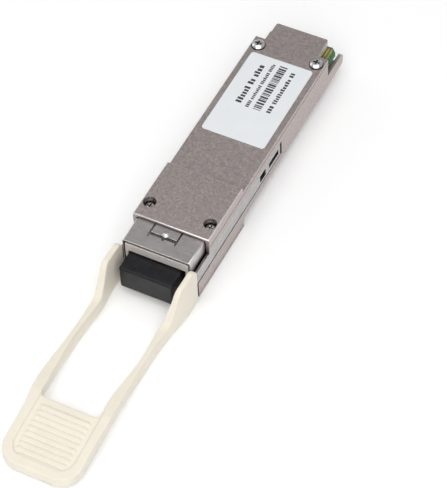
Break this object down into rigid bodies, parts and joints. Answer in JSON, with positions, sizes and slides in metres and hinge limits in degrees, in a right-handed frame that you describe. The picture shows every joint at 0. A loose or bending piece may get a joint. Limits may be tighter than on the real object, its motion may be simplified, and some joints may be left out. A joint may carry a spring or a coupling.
{
  "type": "pluggable optical transceiver module",
  "caption": "Pluggable fibre-optic transceiver: metal housing with card edge, single optical port with dust plug, and a sprung pull-tab release loop.",
  "frame": {"origin": "on the centreline of the heat-sink face, in the plane of the hard stop where the head meets the cage", "axes": "+Y runs into the cage towards the card edge, +Z is the outward normal of the label face, +X is to the right seen from the nose with the label up"},
  "size_m": [0.0197, 0.1304, 0.013],
  "materials": {
    "cast_nickel": "fine blasted nickel plate on zinc die casting",
    "shield_sheet": "smooth nickel-plated sheet",
    "cast_bright": "bright nickel-plated casting",
    "black_plastic": "matt black",
    "stainless": "satin stainless steel",
    "zirconia": "polished zirconia",
    "gold_plate": "gold plate",
    "flex_film": "amber polyimide flex",
    "board_green": "green solder mask",
    "chip_black": "black moulding compound",
    "thermal_pad": "soft blue-grey gap filler",
    "capacitor_tan": "tan ceramic",
    "absorber_grey": "grey absorber sheet",
    "label_film": "white matt label film",
    "screw_steel": "bright nickel-plated steel",
    "tab_cream": "cream moulded elastomer",
    "plug_black": "satin black moulded plastic"
  },
  "bodies": {
    "housing": {"heat_sink_housing": "cast_nickel", "label_cover": "cast_nickel", "nose_shield": "shield_sheet", "nose_insert": "cast_bright", "lc_receptacle": "black_plastic", "receptacle_barrel": "stainless", "ceramic_sleeve": "zirconia", "fibre_stub": "zirconia", "optics_block": "stainless", "laser_can": "gold_plate", "detector_can": "gold_plate", "laser_flex": "flex_film", "detector_flex": "flex_film", "optics_clamp": "stainless", "main_board": "board_green", "top_contacts": "gold_plate", "bottom_contacts": "gold_plate", "signal_processor": "chip_black", "processor_pad": "thermal_pad", "laser_driver": "chip_black", "driver_pad": "thermal_pad", "microcontroller": "chip_black", "clock_crystal": "stainless", "power_inductors": "chip_black", "ceramic_capacitors": "capacitor_tan", "absorber_sheet": "absorber_grey", "label": "label_film", "rear_screws": "screw_steel", "front_screws": "screw_steel", "left_return_spring": "screw_steel", "right_return_spring": "screw_steel"},
    "release_slider": {"pull_tab": "tab_cream", "left_slide_arm": "stainless", "right_slide_arm": "stainless"},
    "dust_plug": {"dust_plug": "plug_black"}
  },
  "joints": [
    {"name": "release_pull", "type": "slide", "parent": "housing", "child": "release_slider", "axis": [0, -1, 0], "range_m": [0, 0.0018], "stiffness_N_per_m": 1500, "springref_m": -0.001, "deforming": ["left_return_spring", "right_return_spring"]},
    {"name": "plug_pull", "type": "slide", "parent": "housing", "child": "dust_plug", "axis": [0, -1, 0], "range_m": [0, 0.016]}
  ]
}
